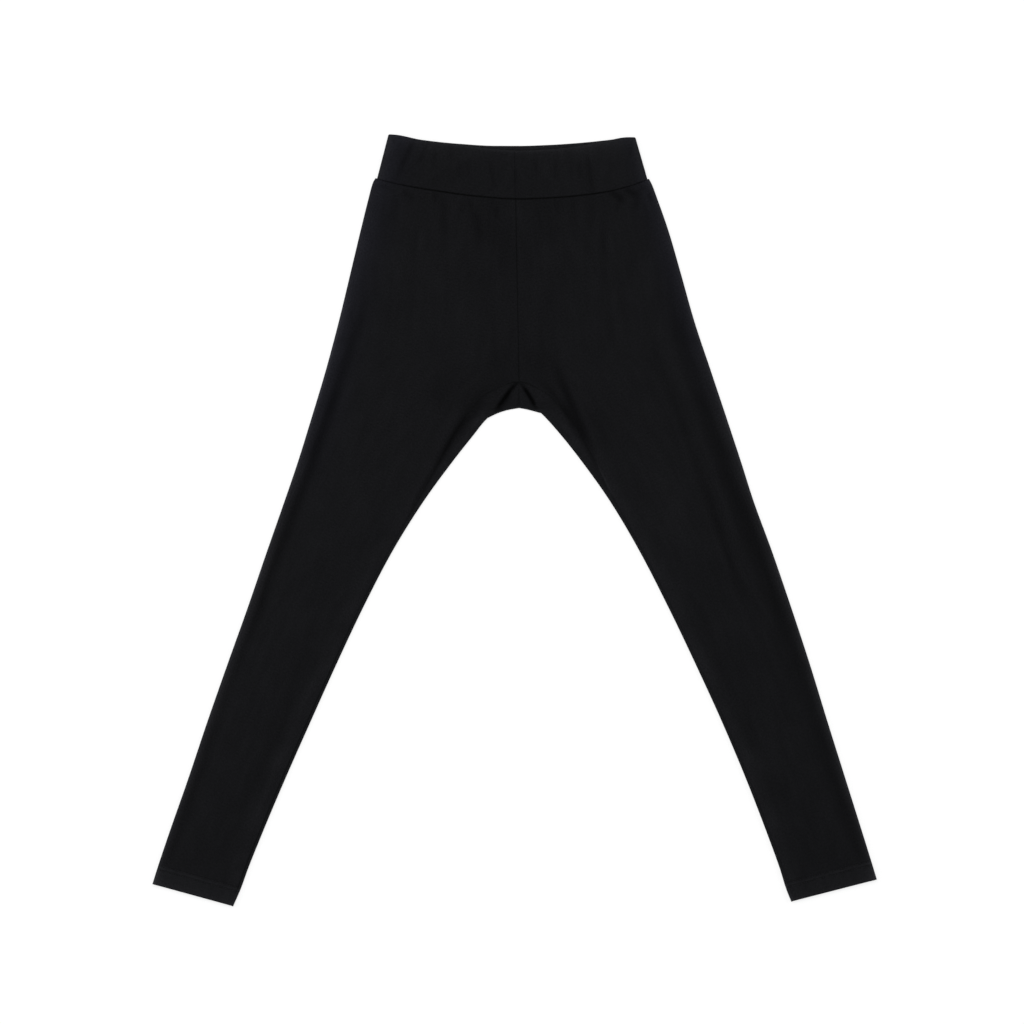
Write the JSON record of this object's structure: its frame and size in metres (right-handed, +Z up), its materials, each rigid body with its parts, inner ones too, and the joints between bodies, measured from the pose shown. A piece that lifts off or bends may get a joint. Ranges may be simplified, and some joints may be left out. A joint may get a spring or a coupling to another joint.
{
  "type": "leggings",
  "caption": "Plain close-fitting ankle-length leggings laid flat on their back, with a folded waistband, shaped rise and turned-up hems.",
  "frame": {"origin": "centre of the box that holds the leggings as they lie, at the surface they lie on", "axes": "+Z up, out of the leggings' front; +Y along them towards the waist; +X to the wearer's left"},
  "size_m": [0.887, 0.946, 0.007],
  "materials": {
    "leg_right": "matt black stretch knit",
    "leg_left": "matt black stretch knit",
    "waistband": "matt black stretch knit, double"
  },
  "bodies": {
    "root": {"leg_right": "leg_right", "leg_left": "leg_left", "waistband": "waistband"}
  },
  "joints": []
}
